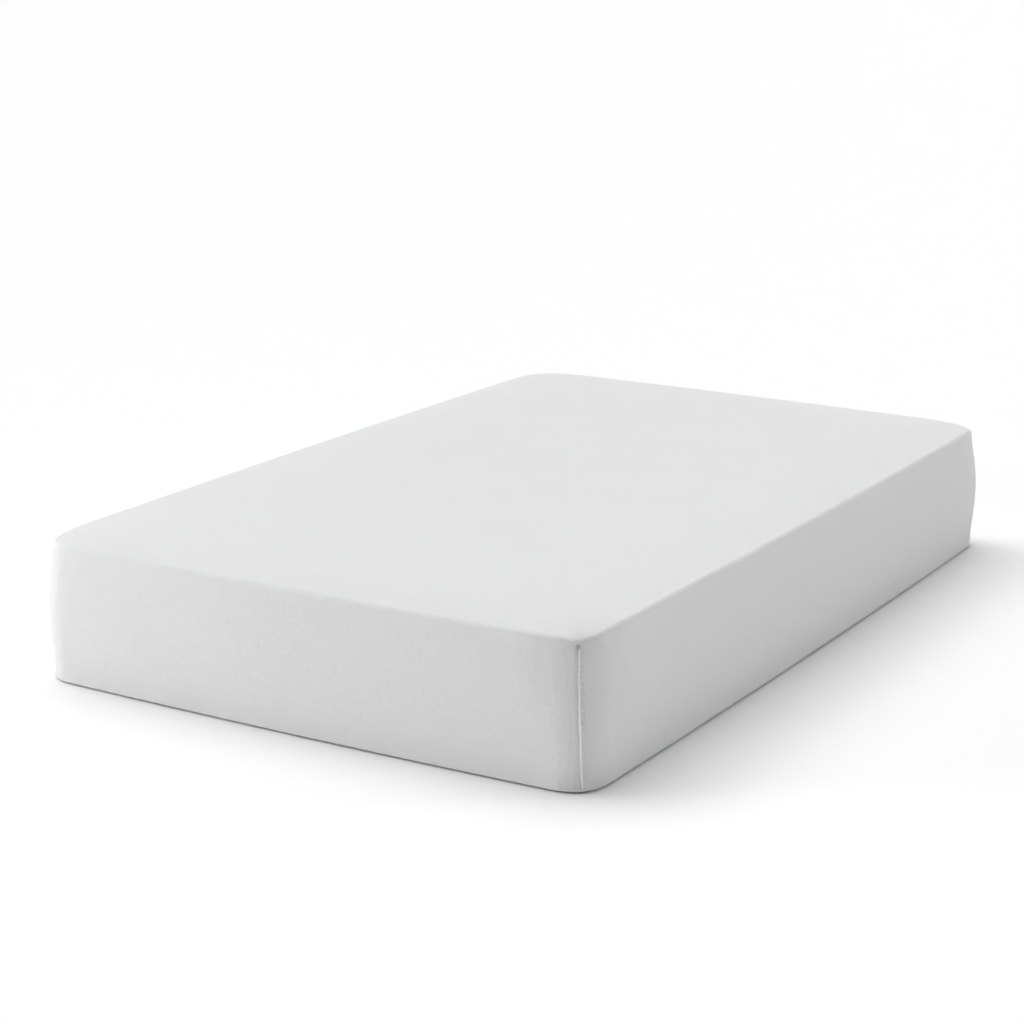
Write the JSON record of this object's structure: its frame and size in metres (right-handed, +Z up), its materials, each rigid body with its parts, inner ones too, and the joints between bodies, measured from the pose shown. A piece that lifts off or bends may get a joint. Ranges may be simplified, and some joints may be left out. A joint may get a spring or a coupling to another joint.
{
  "type": "memory foam mattress",
  "caption": "Foam mattress with rounded corners in a smooth white knitted cover that zips off; foam layers in a fire sleeve, with a blank care label.",
  "frame": {"origin": "middle of the underside, on the surface that the mattress lies on", "axes": "+Z up, +Y along the length towards the end with the zip, +X across the width, away from the zip's long side"},
  "size_m": [1.2, 1.9, 0.28],
  "materials": {
    "knit_cover": "matte white stretch knit",
    "base_fabric": "matte grey woven, with anti-slip dots",
    "seam_thread": "white overlocked thread",
    "zip_tape": "white woven tape",
    "zip_coil": "white nylon, slightly glossy",
    "zip_metal": "satin nickel colour",
    "label_satin": "white satin, blank",
    "sleeve_knit": "matte off-white open knit",
    "memory_foam": "matte cream open-cell foam",
    "transition_foam": "matte pale blue open-cell foam",
    "support_foam": "matte pale grey open-cell foam"
  },
  "bodies": {
    "mattress": {"cover_upper": "knit_cover", "cover_base_panel": "base_fabric", "base_seam_welt": "knit_cover", "corner_seam_front_right": "seam_thread", "corner_seam_front_left": "seam_thread", "corner_seam_back_left": "seam_thread", "corner_seam_back_right": "seam_thread", "fire_sock": "sleeve_knit", "fire_sock_end_panel": "sleeve_knit", "memory_foam_layer": "memory_foam", "transition_foam_layer": "transition_foam", "support_foam_core": "support_foam", "zip_tape_upper": "zip_tape", "zip_tape_lower": "zip_tape", "zip_coil_upper": "zip_coil", "zip_coil_lower": "zip_coil", "zip_top_stop_upper": "zip_metal", "zip_top_stop_lower": "zip_metal", "zip_bottom_stop": "zip_metal"},
    "zip_slider": {"zip_slider_body": "zip_metal", "zip_slider_crown": "zip_metal"},
    "zip_puller": {"zip_puller": "zip_metal"},
    "care_label": {"care_label": "label_satin"}
  },
  "joints": [
    {"name": "zip_slide", "type": "slide", "parent": "mattress", "child": "zip_slider", "axis": [0, 1, 0], "range_m": [0, 1.62]},
    {"name": "puller_flip", "type": "hinge", "parent": "zip_slider", "child": "zip_puller", "pos_m": [-0.58943, -0.7882, 0.024], "axis": [0, 0, 1], "range_deg": [0, 170]},
    {"name": "label_flap", "type": "hinge", "parent": "mattress", "child": "care_label", "pos_m": [-0.4, 0.94641, 0.125], "axis": [1, 0, 0], "range_deg": [0, 150]}
  ]
}
